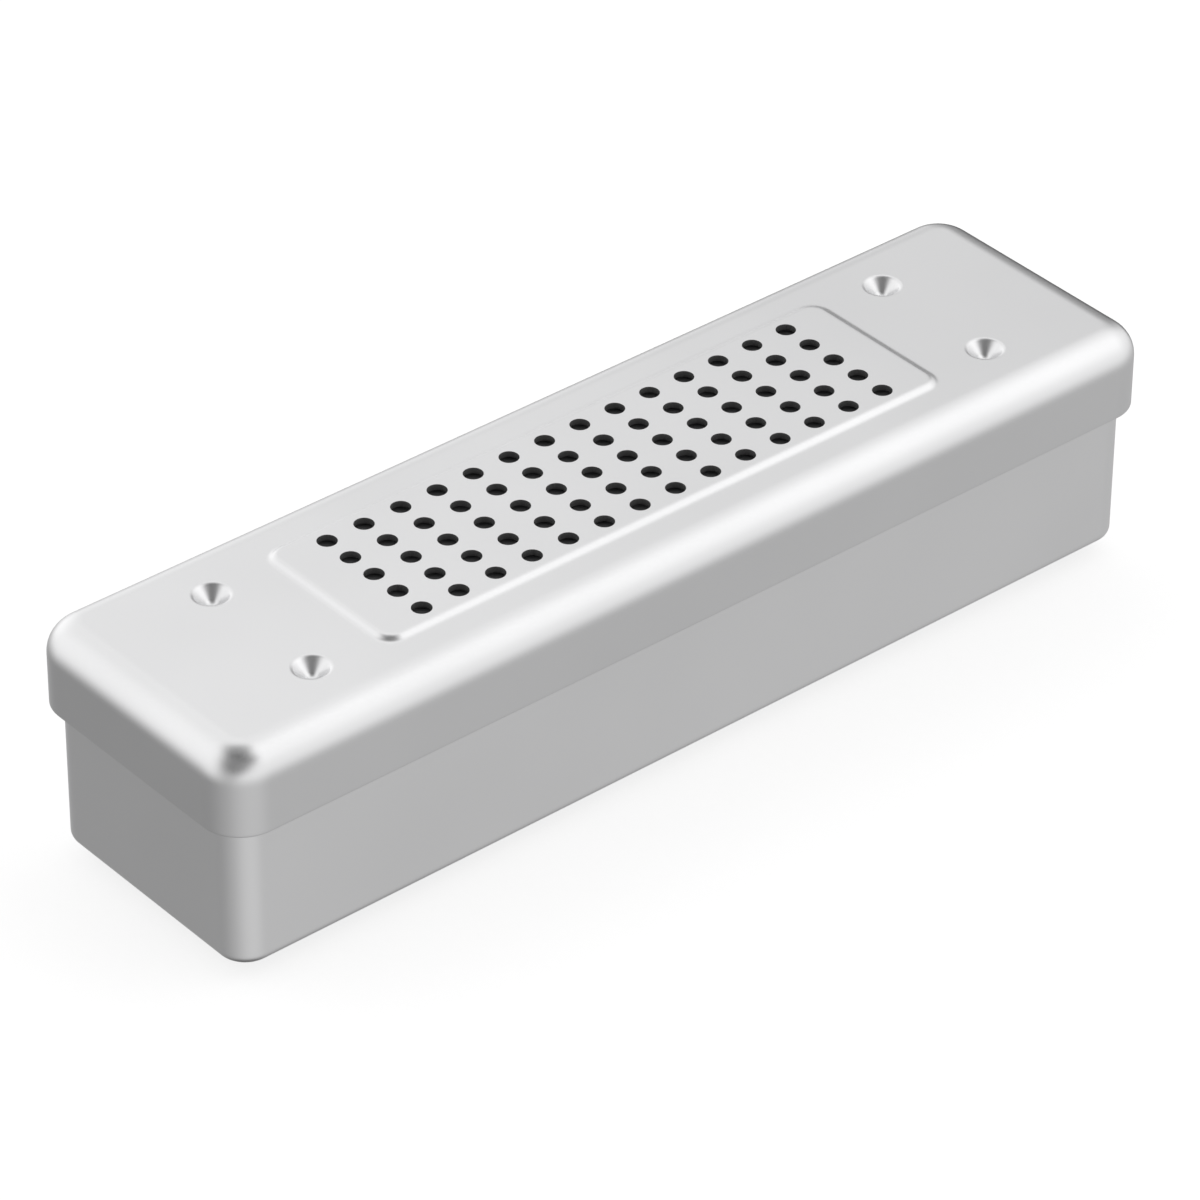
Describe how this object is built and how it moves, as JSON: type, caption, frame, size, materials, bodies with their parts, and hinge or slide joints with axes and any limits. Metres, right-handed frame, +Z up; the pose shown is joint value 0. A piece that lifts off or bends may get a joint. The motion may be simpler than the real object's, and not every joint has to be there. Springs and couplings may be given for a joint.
{
  "type": "sterilization container",
  "caption": "Long low aluminium sterilization container with a vented slip-on lid, a filter under it and a lift-out tray.",
  "frame": {"origin": "on the ground under the middle of the closed container, level with the tips of its feet", "axes": "+X along the length, +Y across the width, +Z up"},
  "size_m": [0.26, 0.07, 0.0604],
  "materials": {
    "lid_aluminium": "satin anodised, very fine grain",
    "tub_aluminium": "satin anodised, very fine grain",
    "foot_aluminium": "turned, satin",
    "channel_steel": "plain cold-formed strip",
    "seal_silicone": "matt moulded silicone",
    "filter_membrane": "matt dark filter membrane",
    "retainer_steel": "brushed along its length",
    "stud_steel": "turned",
    "screw_steel": "turned and polished",
    "latch_steel": "brushed",
    "tray_steel": "electropolished",
    "mat_silicone": "matt moulded silicone",
    "handle_steel": "polished wire"
  },
  "bodies": {
    "tub": {"tub_shell": "tub_aluminium", "foot_front_left": "foot_aluminium", "foot_front_right": "foot_aluminium", "foot_back_left": "foot_aluminium", "foot_back_right": "foot_aluminium"},
    "lid": {"lid_shell": "lid_aluminium", "seal_channel": "channel_steel", "lid_seal": "seal_silicone", "filter_sheet": "filter_membrane", "filter_retainer": "retainer_steel", "latch_stud_left": "stud_steel", "latch_stud_right": "stud_steel", "latch_screw_left": "screw_steel", "latch_screw_right": "screw_steel", "latch_washer_left": "screw_steel", "latch_washer_right": "screw_steel"},
    "latch_left": {"turn_latch_left": "latch_steel"},
    "latch_right": {"turn_latch_right": "latch_steel"},
    "tray": {"tray_shell": "tray_steel", "silicone_mat": "mat_silicone"},
    "bail_left": {"handle_left": "handle_steel"},
    "bail_right": {"handle_right": "handle_steel"}
  },
  "joints": [
    {"name": "lid_lift", "type": "slide", "parent": "tub", "child": "lid", "axis": [0, 0, 1], "range_m": [0, 0.12]},
    {"name": "tray_lift", "type": "slide", "parent": "tub", "child": "tray", "axis": [0, 0, 1], "range_m": [0, 0.054]},
    {"name": "latch_left_turn", "type": "hinge", "parent": "lid", "child": "latch_left", "pos_m": [-0.0941, 0, 0.0529], "axis": [0, 0, 1], "range_deg": [0, 90]},
    {"name": "latch_right_turn", "type": "hinge", "parent": "lid", "child": "latch_right", "pos_m": [0.0941, 0, 0.0529], "axis": [0, 0, 1], "range_deg": [0, 90]},
    {"name": "handle_left_fold", "type": "hinge", "parent": "tray", "child": "bail_left", "pos_m": [-0.112, 0, 0.0287], "axis": [0, -1, 0], "range_deg": [0, 90]},
    {"name": "handle_right_fold", "type": "hinge", "parent": "tray", "child": "bail_right", "pos_m": [0.112, 0, 0.0287], "axis": [0, 1, 0], "range_deg": [0, 90]}
  ],
  "couplings": [
    {"joint": "tray_lift", "follows": "lid_lift", "ratio": 0.45}
  ]
}
